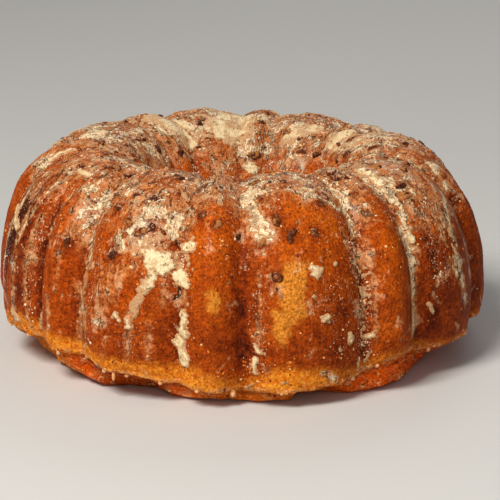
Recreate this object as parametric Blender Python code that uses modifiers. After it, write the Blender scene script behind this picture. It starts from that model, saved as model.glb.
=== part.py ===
"""A rum cake baked in a fluted ring tin and turned out upside down, with chopped pecans in its top.

The cake is one ring of sponge. Eight wide flutes and eight slim ones run up its wall, over the crest
and down into the hole. The side that was open in the tin is the domed foot that it stands on.
Lengths are in metres, +Z is up, and the origin is the centre of the foot. An azimuth is measured
from the front of the cake, which faces -Y, towards +X.
"""

import math
import random

import bmesh
import bpy
from mathutils import Matrix, Vector, noise
from mathutils.bvhtree import BVHTree

# The ring's section, through the middle of a wide flute
OUTER_RADIUS = 0.1205
WIDEST_HEIGHT = 0.028
CREST_RADIUS = 0.070
CREST_HEIGHT = 0.098
SHOULDER_SQUARENESS = 2.35
INNER_SQUARENESS = 1.9
HOLE_RADIUS = 0.0315
HOLE_SHOULDER_HEIGHT = 0.036
HOLE_FOOT_RADIUS = 0.0275
HOLE_FOOT_ROUND = 0.003

# The lower edge of the crust, and the domed foot inside it
RIM_RADIUS = 0.1182
RIM_HEIGHT = 0.0140
RIM_ROUND = 0.0022
DOME_RADIUS = 0.1090
DOME_HEIGHT = 0.0080
FOOT_RADIUS = 0.1000

# Round the cake, the azimuth in degrees, and in metres the height of the crust's lower edge and how far
# the dome and the foot reach
LOWER_EDGE = (
    (-180, 0.0150, 0.1080, 0.1000),
    (-150, 0.0160, 0.1070, 0.0985),
    (-120, 0.0150, 0.1075, 0.1000),
    (-95, 0.0165, 0.1040, 0.0970),
    (-75, 0.0170, 0.1030, 0.0965),
    (-60, 0.0178, 0.1050, 0.0980),
    (-48, 0.0172, 0.1120, 0.0990),
    (-38, 0.0165, 0.1115, 0.1025),
    (-33, 0.0138, 0.1040, 0.0955),
    (-24, 0.0136, 0.0990, 0.0925),
    (-18, 0.0112, 0.1080, 0.1005),
    (-11, 0.0098, 0.1100, 0.1015),
    (-2, 0.0085, 0.1090, 0.1000),
    (4, 0.0088, 0.1100, 0.1035),
    (11, 0.0086, 0.1090, 0.1030),
    (15, 0.0088, 0.1020, 0.0960),
    (22, 0.0098, 0.1020, 0.0960),
    (28, 0.0112, 0.1105, 0.1040),
    (33, 0.0160, 0.1135, 0.1060),
    (39, 0.0185, 0.1145, 0.1055),
    (46, 0.0165, 0.1100, 0.1035),
    (55, 0.0154, 0.1010, 0.0980),
    (70, 0.0154, 0.0965, 0.0950),
    (84, 0.0152, 0.0970, 0.0955),
    (105, 0.0165, 0.1040, 0.0990),
    (130, 0.0150, 0.1060, 0.0980),
    (155, 0.0160, 0.1080, 0.1000),
    (180, 0.0150, 0.1080, 0.1000),
)

# How far the crest and the outer shoulder have settled, by azimuth in degrees
SETTLED = (
    (-180, 0.0), (-150, -0.0010), (-120, -0.0016), (-95, -0.0010), (-75, 0.0), (65, 0.0),
    (90, 0.0014), (112, 0.0034), (140, 0.0034), (160, 0.0014), (180, 0.0),
)

# Flutes: each pair is a wide flute and then a slim one
FLUTE_PAIRS = 8
PAIR_ANGLE = 2 * math.pi / FLUTE_PAIRS
WIDE_ANGLE = math.radians(30)
SLIM_ANGLE = PAIR_ANGLE - WIDE_ANGLE
WIDE_COLUMNS = 9
SLIM_COLUMNS = 5
WIDE_ROUNDNESS = 2.2
SLIM_ROUNDNESS = 1.8
SLIM_SHARE = 0.97
GROOVE_ROUND = 0.20
# The cake was squashed a little as it was turned out: (even azimuth, real azimuth) of its grooves, in degrees
SQUASHED = (
    (0, 0), (180, 180), (210, 211), (225, 227), (255, 259), (270, 274), (300, 304), (315, 318.5), (345, 345.5),
    (360, 360),
)
# The depth of the grooves by tube angle in degrees: 0 faces outwards, 90 up and 180 into the hole
GROOVE_DEPTHS = ((35, 0.0073), (62, 0.0056), (90, 0.0031), (180, 0.0024))

# Unevenness of a baked sponge: (height, spacing) of its broad swells and of its small lumps
SWELLS = (0.0011, 0.040)
LUMPS = (0.0005, 0.013)
GROOVE_WANDER = math.radians(0.8)

# Chopped pecans
TUBE_CENTRE = Vector((CREST_RADIUS, 0.045))
NUT_SEED = 7
NUT_SPREAD_COUNT = 46
NUT_TUBE_ANGLES = (48, 138)
NUT_LENGTHS = (0.0048, 0.0085)
NUT_CLEARANCE = 0.009
# Pecans that stand out at the front: azimuth and tube angle in degrees, and length
NUTS_IN_FRONT = (
    (7.7, 62, 0.0085),
    (20.0, 56, 0.0070),
    (28.0, 57, 0.0055),
    (-5.0, 54, 0.0065),
    (-15.0, 60, 0.0075),
    (11.5, 49, 0.0070),
    (15.0, 33, 0.0065),
    (52.0, 93, 0.0150),
    (83.0, 88, 0.0085),
    (72.0, 70, 0.0080),
    (-49.0, 76, 0.0065),
    (-42.0, 72, 0.0065),
)

# Beads of set glaze that hang from the lower edge of the crust: azimuth in degrees, and length
DRIPS = (
    (-47, 0.0040),
    (-30, 0.0058),
    (-19, 0.0036),
    (-2, 0.0052),
    (27, 0.0034),
    (51, 0.0036),
    (67, 0.0034),
    (104, 0.0044),
    (139, 0.0038),
    (176, 0.0050),
    (214, 0.0036),
    (251, 0.0046),
)
DRIP_WIDTH = 0.0032


def clear_scene():
    for old in list(bpy.data.objects):
        bpy.data.objects.remove(old, do_unlink=True)


def collection_named(name):
    made = bpy.data.collections.new(name)
    bpy.context.scene.collection.children.link(made)
    return made


def material(name, colour, roughness):
    made = bpy.data.materials.new(name)
    made.use_nodes = True
    shader = made.node_tree.nodes["Principled BSDF"]
    shader.inputs["Base Color"].default_value = (*colour, 1)
    shader.inputs["Roughness"].default_value = roughness
    shader.inputs["Metallic"].default_value = 0
    return made


def between(start, end, share):
    return start + (end - start) * share


def quarter(reach, rise, squareness, angle):
    """A point of a squared quarter ellipse: straight out at angle 0 and straight up at a right angle."""
    power = 2 / squareness
    return Vector((reach * math.cos(angle) ** power, rise * math.sin(angle) ** power))


def even_angles(reach, rise, squareness, count):
    """Angles that cut the squared quarter ellipse into count stretches of one length."""
    fine = [math.pi / 2 * i / 400 for i in range(401)]
    points = [quarter(reach, rise, squareness, a) for a in fine]
    travelled = [0.0]
    for before, after in zip(points, points[1:]):
        travelled.append(travelled[-1] + (after - before).length)
    angles = []
    for step in range(1, count):
        goal = travelled[-1] * step / count
        angles.append(next(a for a, way in zip(fine, travelled) if way >= goal))
    return angles


def ring_section():
    """The closed section as (radius, height) points: crest, wall, rim, foot, hole, and back to the crest."""
    points = [Vector((CREST_RADIUS, CREST_HEIGHT))]
    reach, rise = OUTER_RADIUS - CREST_RADIUS, CREST_HEIGHT - WIDEST_HEIGHT
    for angle in reversed(even_angles(reach, rise, SHOULDER_SQUARENESS, 11)):
        bend = quarter(reach, rise, SHOULDER_SQUARENESS, angle)
        points.append(Vector((CREST_RADIUS + bend.x, WIDEST_HEIGHT + bend.y)))
    for share in (0.0, 0.33, 0.66, 1.0):
        radius = between(OUTER_RADIUS, RIM_RADIUS, share**2)
        points.append(Vector((radius, between(WIDEST_HEIGHT, RIM_HEIGHT, share))))
    points.append(Vector((between(RIM_RADIUS, DOME_RADIUS, 0.28), RIM_HEIGHT - RIM_ROUND)))
    points.append(Vector((DOME_RADIUS, DOME_HEIGHT)))
    points.append(Vector((between(FOOT_RADIUS, DOME_RADIUS, 0.55), DOME_HEIGHT * 0.36)))
    for share in (0.0, 0.33, 0.66, 1.0):
        points.append(Vector((between(FOOT_RADIUS, HOLE_FOOT_RADIUS + HOLE_FOOT_ROUND, share), 0)))
    for share in (0.0, 0.5):
        radius = between(HOLE_FOOT_RADIUS, HOLE_RADIUS, share)
        points.append(Vector((radius, between(HOLE_FOOT_ROUND, HOLE_SHOULDER_HEIGHT, share))))
    reach, rise = CREST_RADIUS - HOLE_RADIUS, CREST_HEIGHT - HOLE_SHOULDER_HEIGHT
    points.append(Vector((HOLE_RADIUS, HOLE_SHOULDER_HEIGHT)))
    for angle in even_angles(reach, rise, INNER_SQUARENESS, 10):
        bend = quarter(reach, rise, INNER_SQUARENESS, angle)
        points.append(Vector((CREST_RADIUS - bend.x, HOLE_SHOULDER_HEIGHT + bend.y)))
    return points


def section_normals(points):
    """The outward direction at each point of the closed section."""
    normals = []
    for i, _ in enumerate(points):
        run = points[(i + 1) % len(points)] - points[i - 1]
        normals.append(Vector((-run.y, run.x)).normalized())
    return normals


def tube_angle(point):
    """The direction of a section point from the middle of the ring: 0 outwards, a right angle up."""
    off = point - TUBE_CENTRE
    angle = math.atan2(off.y, off.x)
    return angle if angle > -math.pi / 2 else angle + 2 * math.pi


def along(stops, value):
    """The number that (place, number) stops give at a value, straight between stops."""
    if value <= stops[0][0]:
        return stops[0][1]
    for (low, first), (high, last) in zip(stops, stops[1:]):
        if value <= high:
            return between(first, last, (value - low) / (high - low))
    return stops[-1][1]


def groove_depth(point):
    """How deep the grooves between flutes are at a section point: none under the cake."""
    depth = along(GROOVE_DEPTHS, math.degrees(tube_angle(point)))
    under = along(((DOME_HEIGHT * 0.3, 0), (RIM_HEIGHT - RIM_ROUND, 1)), point.y)
    return depth * under


def flute_height(azimuth):
    """1 on the ridge of a wide flute, a little less on a slim one, and 0 in the rounded groove between."""
    place = azimuth % PAIR_ANGLE
    if place < WIDE_ANGLE:
        height = 1 - abs(2 * place / WIDE_ANGLE - 1) ** WIDE_ROUNDNESS
    else:
        height = SLIM_SHARE * (1 - abs(2 * (place - WIDE_ANGLE) / SLIM_ANGLE - 1) ** SLIM_ROUNDNESS)
    return (math.hypot(height, GROOVE_ROUND) - GROOVE_ROUND) / (math.hypot(1, GROOVE_ROUND) - GROOVE_ROUND)


def column_azimuth(column):
    """Where a column of the mesh stands, so that a column runs along each groove."""
    pair, step = divmod(column, WIDE_COLUMNS + SLIM_COLUMNS)
    if step < WIDE_COLUMNS:
        even = pair * PAIR_ANGLE + WIDE_ANGLE * step / WIDE_COLUMNS
    else:
        even = pair * PAIR_ANGLE + WIDE_ANGLE + SLIM_ANGLE * (step - WIDE_COLUMNS) / SLIM_COLUMNS
    return math.radians(along(SQUASHED, math.degrees(even)))


def even_azimuth(azimuth):
    """The azimuth that a place had in the tin, whose flutes are all alike."""
    return math.radians(along([(real, even) for even, real in SQUASHED], math.degrees(azimuth) % 360))


def in_space(azimuth, radius, height):
    return Vector((radius * math.sin(azimuth), -radius * math.cos(azimuth), height))


def swell(place):
    """How far the baked surface stands out from the tin's true form at a place."""
    height, spacing = SWELLS
    lump_height, lump_spacing = LUMPS
    return height * noise.noise(place / spacing) + lump_height * noise.noise(place / lump_spacing)


def stop_at(stops, column, azimuth):
    """One column of a table of azimuths in degrees, read at an azimuth in radians."""
    place = (math.degrees(azimuth) + 180) % 360 - 180
    return along([(row[0], row[column]) for row in stops], place)


def groove_direction(point, normal):
    """The way a groove is cut: square to the surface above the widest place, and level below it."""
    if point.y > WIDEST_HEIGHT:
        return normal
    return Vector((1 if point.x > CREST_RADIUS else -1, 0))


def cake_point(azimuth, point, normal):
    """The baked surface at an azimuth, from a point of the section and its outward direction."""
    standing = in_space(azimuth, point.x, point.y)
    wander = GROOVE_WANDER * noise.noise(standing / 0.05)
    off = -groove_depth(point) * (1 - flute_height(even_azimuth(azimuth) + wander))
    settled = along(((0.0005, 0), (RIM_HEIGHT, 1)), point.y)
    off += settled * swell(standing)
    sunk = along(((5, 0), (45, 1), (80, 0.5), (125, 0)), math.degrees(tube_angle(point)))
    off -= sunk * stop_at(SETTLED, 1, azimuth)
    moved = point + groove_direction(point, normal) * off
    if point.y < WIDEST_HEIGHT and point.x > CREST_RADIUS:
        lift = stop_at(LOWER_EDGE, 1, azimuth) - RIM_HEIGHT
        dome = stop_at(LOWER_EDGE, 2, azimuth) - DOME_RADIUS
        foot = stop_at(LOWER_EDGE, 3, azimuth) - FOOT_RADIUS
        moved.y += lift * along(((0, 0), (RIM_HEIGHT, 1), (WIDEST_HEIGHT, 0)), point.y)
        reach = ((0, foot), (DOME_HEIGHT, dome), (RIM_HEIGHT - RIM_ROUND, dome * 0.3), (RIM_HEIGHT, 0))
        moved.x += along(reach, point.y)
    return in_space(azimuth, moved.x, moved.y)


def turned_ring(name, section, steps):
    """The section turned once round Z, as a plain ring with no flutes."""
    mesh = bpy.data.meshes.new(name + "_section")
    edges = [(i, (i + 1) % len(section)) for i in range(len(section))]
    mesh.from_pydata([(p.x, 0, p.y) for p in section], edges, [])
    ring = bpy.data.objects.new(name, mesh)
    bpy.context.scene.collection.objects.link(ring)
    screw = ring.modifiers.new("turn", "SCREW")
    screw.steps = screw.render_steps = steps
    screw.use_merge_vertices = True
    screw.merge_threshold = 0.00005
    bpy.context.view_layer.update()
    graph = bpy.context.evaluated_depsgraph_get()
    turned = bpy.data.meshes.new_from_object(ring.evaluated_get(graph))
    ring.modifiers.clear()
    ring.data = turned
    bpy.data.meshes.remove(mesh)
    return ring


def cake_ring():
    """The whole cake without its nuts: the turned ring, with its flutes and its baked unevenness."""
    section = ring_section()
    normals = section_normals(section)
    columns = FLUTE_PAIRS * (WIDE_COLUMNS + SLIM_COLUMNS)
    ring = turned_ring("cake", section, columns)
    for vertex in ring.data.vertices:
        turn = math.atan2(vertex.co.x, -vertex.co.y) % (2 * math.pi)
        column = round(turn / (2 * math.pi) * columns) % columns
        here = Vector((math.hypot(vertex.co.x, vertex.co.y), vertex.co.z))
        row = min(range(len(section)), key=lambda i: (section[i] - here).length_squared)
        vertex.co = cake_point(column_azimuth(column), section[row], normals[row])
    return ring


def surface_at(tree, azimuth, angle):
    """The place on the surface and its outward normal, in a direction from the middle of the ring's tube."""
    core = in_space(azimuth, TUBE_CENTRE.x, TUBE_CENTRE.y)
    ahead = in_space(azimuth, math.cos(angle), 0) + Vector((0, 0, math.sin(angle)))
    place, normal, _, _ = tree.ray_cast(core, ahead)
    return place, normal if normal.dot(ahead) > 0 else -normal


def nut_places():
    """(azimuth, tube angle, length) of every pecan, in radians and metres, none nearer than the clearance."""
    places = [(math.radians(a), math.radians(t), length) for a, t, length in NUTS_IN_FRONT]
    draw = random.Random(NUT_SEED)
    taken = [in_space(a, CREST_RADIUS + 0.03 * math.cos(t), 0.05 * math.sin(t)) for a, t, _ in places]
    while len(places) < len(NUTS_IN_FRONT) + NUT_SPREAD_COUNT:
        azimuth = draw.uniform(0, 2 * math.pi)
        angle = math.radians(draw.triangular(*NUT_TUBE_ANGLES, 88))
        length = draw.uniform(*NUT_LENGTHS)
        spot = in_space(azimuth, CREST_RADIUS + 0.03 * math.cos(angle), 0.05 * math.sin(angle))
        if all((spot - other).length > NUT_CLEARANCE for other in taken):
            places.append((azimuth, angle, length))
            taken.append(spot)
    return places


def add_nut(toppings, tree, index, azimuth, angle, length):
    """A chopped pecan: a faceted lump, longer than wide, sunk into the crust to half its thickness."""
    draw = random.Random(1000 * NUT_SEED + index)
    place, normal = surface_at(tree, azimuth, angle)
    lump = bmesh.new()
    bmesh.ops.create_icosphere(lump, subdivisions=1, radius=0.5)
    for vertex in lump.verts:
        vertex.co *= draw.uniform(0.86, 1.1)
    size = Vector((length, length * draw.uniform(0.6, 0.8), length * draw.uniform(0.42, 0.55)))
    turn = normal.to_track_quat("Z", "Y")
    spin = Matrix.Rotation(draw.uniform(0, math.pi), 4, "Z")
    sink = Matrix.Translation(place - normal * size.z * 0.12)
    lump.transform(sink @ turn.to_matrix().to_4x4() @ spin @ Matrix.Diagonal((*size, 1)))
    add_topping(toppings, f"nut_{index:02d}", lump)


def add_drip(toppings, section, normals, index, azimuth, length):
    """A bead of set glaze that hangs from the crust's lower edge, its tip rounded."""
    row = min(range(len(section)), key=lambda i: (section[i] - Vector((RIM_RADIUS, RIM_HEIGHT))).length)
    edge = cake_point(azimuth, section[row], normals[row])
    bead = bmesh.new()
    bmesh.ops.create_uvsphere(bead, u_segments=6, v_segments=5, radius=0.5)
    for vertex in bead.verts:
        if vertex.co.z < 0:
            vertex.co.x *= 1 + vertex.co.z * 0.7
            vertex.co.y *= 1 + vertex.co.z * 0.7
    inward = in_space(azimuth, -DRIP_WIDTH * 0.62, 0)
    place = Matrix.Translation(edge + inward - Vector((0, 0, length * 0.30)))
    bead.transform(place @ Matrix.Diagonal((DRIP_WIDTH, DRIP_WIDTH, length * 1.25, 1)))
    add_topping(toppings, f"drip_{index:02d}", bead)


def add_topping(toppings, name, shape):
    mesh = bpy.data.meshes.new(name)
    shape.to_mesh(mesh)
    shape.free()
    toppings.objects.link(bpy.data.objects.new(name, mesh))


def fuse(body, toppings):
    """Joins the toppings to the body as one closed surface, and removes the loose ones."""
    join = body.modifiers.new("join", "BOOLEAN")
    join.operation = "UNION"
    join.solver = "EXACT"
    join.operand_type = "COLLECTION"
    join.collection = toppings
    bpy.context.view_layer.update()
    graph = bpy.context.evaluated_depsgraph_get()
    joined = bpy.data.meshes.new_from_object(body.evaluated_get(graph))
    body.modifiers.clear()
    body.data = joined
    for loose in list(toppings.objects):
        bpy.data.objects.remove(loose, do_unlink=True)
    bpy.data.collections.remove(toppings)


def main():
    clear_scene()
    part = collection_named("rum_cake")
    cake = cake_ring()
    bpy.context.scene.collection.objects.unlink(cake)
    part.objects.link(cake)
    shape = bmesh.new()
    shape.from_mesh(cake.data)
    tree = BVHTree.FromBMesh(shape)
    shape.free()
    toppings = collection_named("toppings")
    for index, (azimuth, angle, length) in enumerate(nut_places()):
        add_nut(toppings, tree, index, azimuth, angle, length)
    section = ring_section()
    normals = section_normals(section)
    for index, (azimuth, length) in enumerate(DRIPS):
        add_drip(toppings, section, normals, index, math.radians(azimuth), length)
    fuse(cake, toppings)
    cake.data.materials.clear()
    cake.data.materials.append(material("browned_crust", (0.42, 0.16, 0.035), 0.6))
    cake.data.shade_smooth()
    cake.data.set_sharp_from_angle(angle=math.radians(50))


main()
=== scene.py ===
"""A rum cake from a fluted ring tin: browned sponge, chopped pecans, sugar grains and a cream glaze."""

import math
import random

import bpy
import numpy as np
from mathutils import Matrix, Vector, noise
from mathutils.bvhtree import BVHTree


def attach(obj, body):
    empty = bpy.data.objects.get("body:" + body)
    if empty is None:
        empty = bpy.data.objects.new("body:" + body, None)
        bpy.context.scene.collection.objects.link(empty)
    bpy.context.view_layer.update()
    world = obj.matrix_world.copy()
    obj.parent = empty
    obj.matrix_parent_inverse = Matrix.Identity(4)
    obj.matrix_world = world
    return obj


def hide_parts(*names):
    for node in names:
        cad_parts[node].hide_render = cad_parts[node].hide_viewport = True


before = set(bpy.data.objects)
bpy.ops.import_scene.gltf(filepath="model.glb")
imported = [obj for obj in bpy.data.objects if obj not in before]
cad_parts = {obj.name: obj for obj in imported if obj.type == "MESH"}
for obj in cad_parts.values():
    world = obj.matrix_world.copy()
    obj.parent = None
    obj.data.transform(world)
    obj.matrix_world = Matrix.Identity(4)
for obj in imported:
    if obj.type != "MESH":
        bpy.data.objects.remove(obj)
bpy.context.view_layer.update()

# The sponge. Batter is poured into a greased fluted ring tin, baked, and turned out upside down, so that
# the tin's flutes stand up and the domed, ragged top of the bake becomes the foot. Sizes are in metres,
# azimuths are in degrees from the front towards +X, and a tube angle is 0 outwards and 90 up.
OUTER_RADIUS = 0.1205
WIDEST_HEIGHT = 0.028
CREST_RADIUS = 0.070
CREST_HEIGHT = 0.098
SHOULDER_SQUARENESS = 2.35
INNER_SQUARENESS = 1.9
HOLE_RADIUS = 0.0315
HOLE_SHOULDER_HEIGHT = 0.036
HOLE_FOOT_RADIUS = 0.0275
HOLE_FOOT_ROUND = 0.003
RIM_RADIUS = 0.1182
RIM_HEIGHT = 0.0140
RIM_ROUND = 0.0022
DOME_RADIUS = 0.1090
DOME_HEIGHT = 0.0080
FOOT_RADIUS = 0.1000
TUBE_CENTRE_HEIGHT = 0.045
PAIR_ANGLE = 45
WIDE_ANGLE = 30
SLIM_ANGLE = 15
WIDE_ROUNDNESS = 2.2
SLIM_ROUNDNESS = 1.8
SLIM_SHARE = 0.97
GROOVE_ROUND = 0.09
RING_COLUMNS = 450
# Azimuth, then the height of the crust's lower edge, the reach of the dome and the reach of the foot
LOWER_EDGE = (
    (-180, 0.0150, 0.1080, 0.1000),
    (-150, 0.0160, 0.1070, 0.0985),
    (-120, 0.0150, 0.1075, 0.1000),
    (-95, 0.0165, 0.1040, 0.0970),
    (-75, 0.0170, 0.1030, 0.0965),
    (-60, 0.0178, 0.1050, 0.0980),
    (-48, 0.0172, 0.1120, 0.0990),
    (-38, 0.0165, 0.1115, 0.1025),
    (-33, 0.0138, 0.1040, 0.0955),
    (-24, 0.0136, 0.0990, 0.0925),
    (-18, 0.0112, 0.1080, 0.1005),
    (-11, 0.0098, 0.1100, 0.1015),
    (-2, 0.0085, 0.1090, 0.1000),
    (4, 0.0088, 0.1100, 0.1035),
    (11, 0.0086, 0.1090, 0.1030),
    (15, 0.0088, 0.1020, 0.0960),
    (22, 0.0098, 0.1020, 0.0960),
    (28, 0.0112, 0.1105, 0.1040),
    (33, 0.0160, 0.1135, 0.1060),
    (39, 0.0185, 0.1145, 0.1055),
    (46, 0.0165, 0.1100, 0.1035),
    (55, 0.0154, 0.1010, 0.0980),
    (70, 0.0154, 0.0965, 0.0950),
    (84, 0.0152, 0.0970, 0.0955),
    (105, 0.0165, 0.1040, 0.0990),
    (130, 0.0150, 0.1060, 0.0980),
    (155, 0.0160, 0.1080, 0.1000),
    (180, 0.0150, 0.1080, 0.1000),
)
# Azimuth, then how far the warm cake sank there
SETTLED = (
    (-180, 0.0), (-150, -0.0010), (-120, -0.0016), (-95, -0.0010), (-75, 0.0), (65, 0.0),
    (90, 0.0014), (112, 0.0034), (140, 0.0034), (160, 0.0014), (180, 0.0),
)
# The flutes lean out of their even spacing: the even azimuth, then the real one
SQUASHED = (
    (0, 0), (180, 180), (210, 211), (225, 227), (255, 259), (270, 274), (300, 304), (315, 318.5),
    (345, 345.5), (360, 360),
)
# Tube angle, then the depth of the grooves
GROOVE_DEPTHS = ((35, 0.0073), (62, 0.0056), (90, 0.0031), (180, 0.0024))
# How far a groove strays in degrees, then the height of the swells and lumps of the crust
GROOVE_WANDER = 0.8
BROAD_SWELL = 0.0011
SMALL_SWELL = 0.0005
CRUST_LUMP = 0.001
# The ragged lower edge and the torn dome under it: broad and fine lumps
EDGE_RISE = (0.0012, 0.0007)
EDGE_REACH = (0.0010, 0.0008)
DOME_REACH = (0.0022, 0.0012)
DOME_RISE = 0.0012
OUTER_STEPS = 84
INNER_STEPS = 46


def along(stops, value, column=1):
    """The numbers that (place, number) stops give at values, straight between stops."""
    table = np.array(stops, float)
    return np.interp(value, table[:, 0], table[:, column])


def quarter(reach, rise, squareness, count):
    """Points at even spacing along a squared quarter ellipse, from straight out to straight up."""
    angle = np.linspace(0, math.pi / 2, 2000)
    x = reach * np.cos(angle) ** (2 / squareness)
    y = rise * np.sin(angle) ** (2 / squareness)
    way = np.concatenate(([0], np.cumsum(np.hypot(np.diff(x), np.diff(y)))))
    even = np.linspace(0, way[-1], count + 1)
    return np.stack([np.interp(even, way, x), np.interp(even, way, y)], 1)


def ring_section():
    """The closed section as radius and height: crest, wall, rim, dome, foot, hole, and back to the crest."""
    bend = quarter(OUTER_RADIUS - CREST_RADIUS, CREST_HEIGHT - WIDEST_HEIGHT, SHOULDER_SQUARENESS,
                   OUTER_STEPS)[::-1]
    outer = bend + (CREST_RADIUS, WIDEST_HEIGHT)
    share = np.linspace(0, 1, 16)[1:]
    wall = np.stack([OUTER_RADIUS + (RIM_RADIUS - OUTER_RADIUS) * share**2,
                     WIDEST_HEIGHT + (RIM_HEIGHT - WIDEST_HEIGHT) * share], 1)
    corners = (
        (RIM_RADIUS, RIM_HEIGHT, 4),
        (RIM_RADIUS + (DOME_RADIUS - RIM_RADIUS) * 0.28, RIM_HEIGHT - RIM_ROUND, 8),
        (DOME_RADIUS, DOME_HEIGHT, 6),
        (FOOT_RADIUS + (DOME_RADIUS - FOOT_RADIUS) * 0.55, DOME_HEIGHT * 0.36, 6),
        (FOOT_RADIUS, 0, 16),
        (HOLE_FOOT_RADIUS + HOLE_FOOT_ROUND, 0, 3),
        (HOLE_FOOT_RADIUS, HOLE_FOOT_ROUND, 10),
        (HOLE_RADIUS, HOLE_SHOULDER_HEIGHT, 0),
    )
    low = []
    for (x, y, steps), (next_x, next_y, _) in zip(corners, corners[1:]):
        for step in range(1, steps + 1):
            low.append((x + (next_x - x) * step / steps, y + (next_y - y) * step / steps))
    bend = quarter(CREST_RADIUS - HOLE_RADIUS, CREST_HEIGHT - HOLE_SHOULDER_HEIGHT, INNER_SQUARENESS,
                   INNER_STEPS)[1:-1]
    inner = np.stack([CREST_RADIUS - bend[:, 0], HOLE_SHOULDER_HEIGHT + bend[:, 1]], 1)
    return np.concatenate([outer, wall, low, inner])


def flute_height(azimuth):
    """1 on the ridge of a flute and 0 in the rounded groove between two."""
    even = np.interp(azimuth % 360, [real for _, real in SQUASHED], [even for even, _ in SQUASHED])
    place = even % PAIR_ANGLE
    wide = 1 - np.abs(2 * place / WIDE_ANGLE - 1) ** WIDE_ROUNDNESS
    slim_place = np.clip(2 * (place - WIDE_ANGLE) / SLIM_ANGLE - 1, -1, 1)
    slim = SLIM_SHARE * (1 - np.abs(slim_place) ** SLIM_ROUNDNESS)
    height = np.where(place < WIDE_ANGLE, wide, slim)
    return (np.hypot(height, GROOVE_ROUND) - GROOVE_ROUND) / (math.hypot(1, GROOVE_ROUND) - GROOVE_ROUND)


def lumps(places, spacing, shift=0.0):
    """Smooth random lumps of that spacing at each place, from -1 to 1."""
    return np.array([noise.noise(Vector(p) / spacing + Vector((shift, shift, shift))) for p in places])


def select_none():
    bpy.ops.object.select_all(action="DESELECT")


def pick_up(piece):
    """Makes a piece the active one, and the only one that is selected."""
    select_none()
    piece.select_set(True)
    bpy.context.view_layer.objects.active = piece


def places_of(piece):
    values = np.empty(len(piece.data.vertices) * 3)
    piece.data.vertices.foreach_get("co", values)
    return values.reshape(-1, 3)


def put_places(piece, places):
    piece.data.vertices.foreach_set("co", np.ascontiguousarray(places, dtype=np.float32).ravel())
    piece.data.update()


def outward_ways(piece):
    """The direction that each point of the mesh faces."""
    values = np.empty(len(piece.data.vertices) * 3)
    piece.data.vertices.foreach_get("normal", values)
    return values.reshape(-1, 3)


def corners_of(piece):
    """The numbers of the four points of each face."""
    numbers = np.empty(len(piece.data.polygons) * 4, dtype=np.int32)
    piece.data.polygons.foreach_get("vertices", numbers)
    return numbers.reshape(-1, 4)


def keep_values(piece, name, values):
    """Keeps a number or a direction for each point of the mesh, for its material to read."""
    kind = "FLOAT_VECTOR" if values.ndim == 2 else "FLOAT"
    attribute = piece.data.attributes.new(name, kind, "POINT")
    key = "vector" if values.ndim == 2 else "value"
    attribute.data.foreach_set(key, np.ascontiguousarray(values, dtype=np.float32).ravel())


section = ring_section()
select_none()
bpy.ops.mesh.primitive_circle_add(vertices=len(section), radius=CREST_RADIUS)
sponge = bpy.context.object
sponge.name = sponge.data.name = "sponge"
put_places(sponge, np.stack([np.zeros(len(section)), -section[:, 0], section[:, 1]], 1))
bpy.ops.object.mode_set(mode="EDIT")
bpy.ops.mesh.select_all(action="SELECT")
bpy.ops.mesh.spin(steps=RING_COLUMNS, angle=2 * math.pi, center=(0, 0, 0), axis=(0, 0, 1))
bpy.ops.mesh.select_all(action="SELECT")
bpy.ops.mesh.remove_doubles(threshold=0.00002)
bpy.ops.mesh.normals_make_consistent(inside=False)
bpy.ops.object.mode_set(mode="OBJECT")

places = places_of(sponge)
azimuth = np.degrees(np.arctan2(places[:, 0], -places[:, 1]))
radius = np.hypot(places[:, 0], places[:, 1])
height = places[:, 2].copy()
run = np.roll(section, -1, 0) - np.roll(section, 1, 0)
outward = np.stack([-run[:, 1], run[:, 0]], 1) / np.linalg.norm(run, axis=1)[:, None]
row = np.array([np.argmin((section[:, 0] - r) ** 2 + (section[:, 1] - h) ** 2)
                for r, h in zip(radius, height)])
lift = outward[row]
tube = np.degrees(np.arctan2(height - TUBE_CENTRE_HEIGHT, radius - CREST_RADIUS))
tube = np.where(tube < -90, tube + 360, tube)
arc = np.concatenate(([0], np.cumsum(np.linalg.norm(np.diff(section, axis=0), axis=1))))[row]

# The same flutes, lower edge and unevenness as the solid, with finer lumps of crust on top
below = height <= WIDEST_HEIGHT
level = np.stack([np.where(radius > CREST_RADIUS, 1.0, -1.0), np.zeros(len(radius))], 1)
cut = np.where(below[:, None], level, lift)
wander = GROOVE_WANDER * lumps(places, 0.05)
depth = along(GROOVE_DEPTHS, tube) * along(((DOME_HEIGHT * 0.3, 0), (RIM_HEIGHT - RIM_ROUND, 1)), height)
flute = flute_height(azimuth + wander)
settled = along(((0.0005, 0), (RIM_HEIGHT, 1)), height)
swell = BROAD_SWELL * lumps(places, 0.040) + SMALL_SWELL * lumps(places, 0.013)
sunk = along(((5, 0), (45, 1), (80, 0.5), (125, 0)), tube) * along(SETTLED, azimuth)
rough = along(((-30, 0.12), (10, 0.15), (45, 0.28), (70, 0.65), (110, 0.65), (150, 0.3)), tube) * settled
off = settled * swell - depth * (1 - flute) - sunk
off += rough * CRUST_LUMP * (lumps(places, 0.0045, 5) + 0.5 * lumps(places, 0.0024, 9))
new_radius = radius + cut[:, 0] * off
new_height = height + cut[:, 1] * off
outer_side = radius > CREST_RADIUS
outer_low = (height < WIDEST_HEIGHT) & outer_side
rim_lift = along(LOWER_EDGE, azimuth, 1) - RIM_HEIGHT
dome_reach = along(LOWER_EDGE, azimuth, 2) - DOME_RADIUS
foot_reach = along(LOWER_EDGE, azimuth, 3) - FOOT_RADIUS
new_height += np.where(outer_low, rim_lift * along(((0, 0), (RIM_HEIGHT, 1), (WIDEST_HEIGHT, 0)), height), 0)
toward_rim = along(((DOME_HEIGHT, 1), (RIM_HEIGHT - RIM_ROUND, 0.3), (RIM_HEIGHT, 0)), height)
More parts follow.
